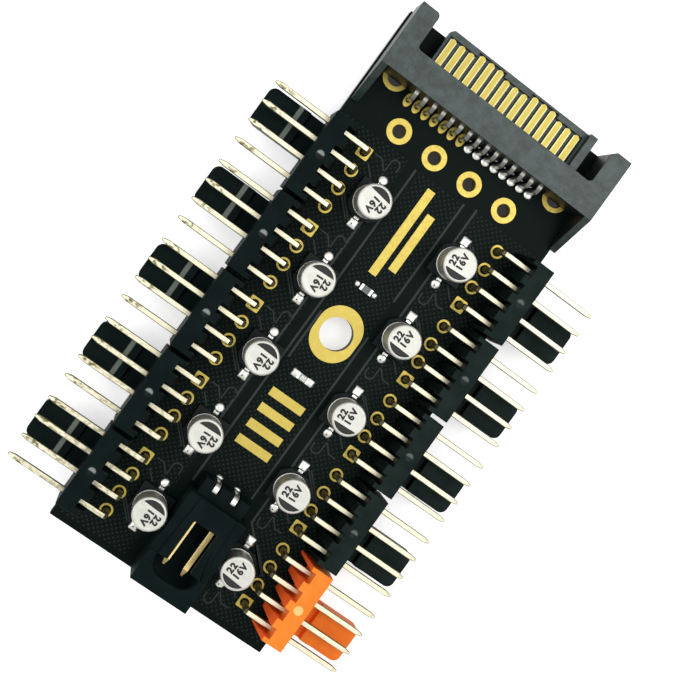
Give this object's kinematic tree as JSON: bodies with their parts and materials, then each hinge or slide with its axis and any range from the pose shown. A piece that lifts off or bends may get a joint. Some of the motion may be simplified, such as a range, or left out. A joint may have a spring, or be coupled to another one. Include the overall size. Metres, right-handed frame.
{
  "type": "pc fan controller hub",
  "caption": "Black circuit board that feeds rows of side-entry fan headers from a flat power plug, with a small capacitor by each header and a central mounting hole.",
  "frame": {"origin": "centre of the mounting hole, in the board's top face", "axes": "+Z out of the component side, +Y along the board towards the power plug, +X towards the right row of fan headers, which holds the orange one"},
  "size_m": [0.045, 0.0708, 0.009],
  "materials": {
    "board_mask": "satin black solder mask over glass-epoxy",
    "plug_plastic": "satin moulded black plastic",
    "header_black": "satin moulded black plastic",
    "header_orange": "satin moulded orange plastic",
    "gold_contact": "gold-flashed copper alloy",
    "tinned_pin": "bright tin over brass",
    "can_aluminium": "bright drawn aluminium",
    "base_black": "matt moulded black plastic",
    "solder_tin": "bright tin and solder",
    "resistor_body": "matt black glaze on ceramic",
    "lamp_lens": "cloudy clear resin"
  },
  "bodies": {
    "root": {"circuit_board": "board_mask", "power_plug_housing": "plug_plastic", "power_plug_contacts": "gold_contact", "two_pin_housing": "header_black", "two_pin_pins": "gold_contact", "fan_header_housing_left_1": "header_black", "fan_header_pins_left_1": "tinned_pin", "capacitor_can_left_1": "can_aluminium", "capacitor_base_left_1": "base_black", "capacitor_leads_left_1": "solder_tin", "fan_header_housing_left_2": "header_black", "fan_header_pins_left_2": "tinned_pin", "capacitor_can_left_2": "can_aluminium", "capacitor_base_left_2": "base_black", "capacitor_leads_left_2": "solder_tin", "fan_header_housing_left_3": "header_black", "fan_header_pins_left_3": "tinned_pin", "capacitor_can_left_3": "can_aluminium", "capacitor_base_left_3": "base_black", "capacitor_leads_left_3": "solder_tin", "fan_header_housing_left_4": "header_black", "fan_header_pins_left_4": "tinned_pin", "capacitor_can_left_4": "can_aluminium", "capacitor_base_left_4": "base_black", "capacitor_leads_left_4": "solder_tin", "fan_header_housing_left_5": "header_black", "fan_header_pins_left_5": "tinned_pin", "capacitor_can_left_5": "can_aluminium", "capacitor_base_left_5": "base_black", "capacitor_leads_left_5": "solder_tin", "fan_header_housing_right_1": "header_black", "fan_header_pins_right_1": "tinned_pin", "capacitor_can_right_1": "can_aluminium", "capacitor_base_right_1": "base_black", "capacitor_leads_right_1": "solder_tin", "fan_header_housing_right_2": "header_black", "fan_header_pins_right_2": "tinned_pin", "capacitor_can_right_2": "can_aluminium", "capacitor_base_right_2": "base_black", "capacitor_leads_right_2": "solder_tin", "fan_header_housing_right_3": "header_black", "fan_header_pins_right_3": "tinned_pin", "capacitor_can_right_3": "can_aluminium", "capacitor_base_right_3": "base_black", "capacitor_leads_right_3": "solder_tin", "fan_header_housing_right_4": "header_black", "fan_header_pins_right_4": "tinned_pin", "capacitor_can_right_4": "can_aluminium", "capacitor_base_right_4": "base_black", "capacitor_leads_right_4": "solder_tin", "fan_header_housing_right_5": "header_orange", "fan_header_pins_right_5": "tinned_pin", "capacitor_can_right_5": "can_aluminium", "capacitor_base_right_5": "base_black", "capacitor_leads_right_5": "solder_tin", "chip_resistor_body": "resistor_body", "chip_resistor_ends": "solder_tin", "chip_lamp_body": "lamp_lens", "chip_lamp_ends": "solder_tin"}
  },
  "joints": []
}
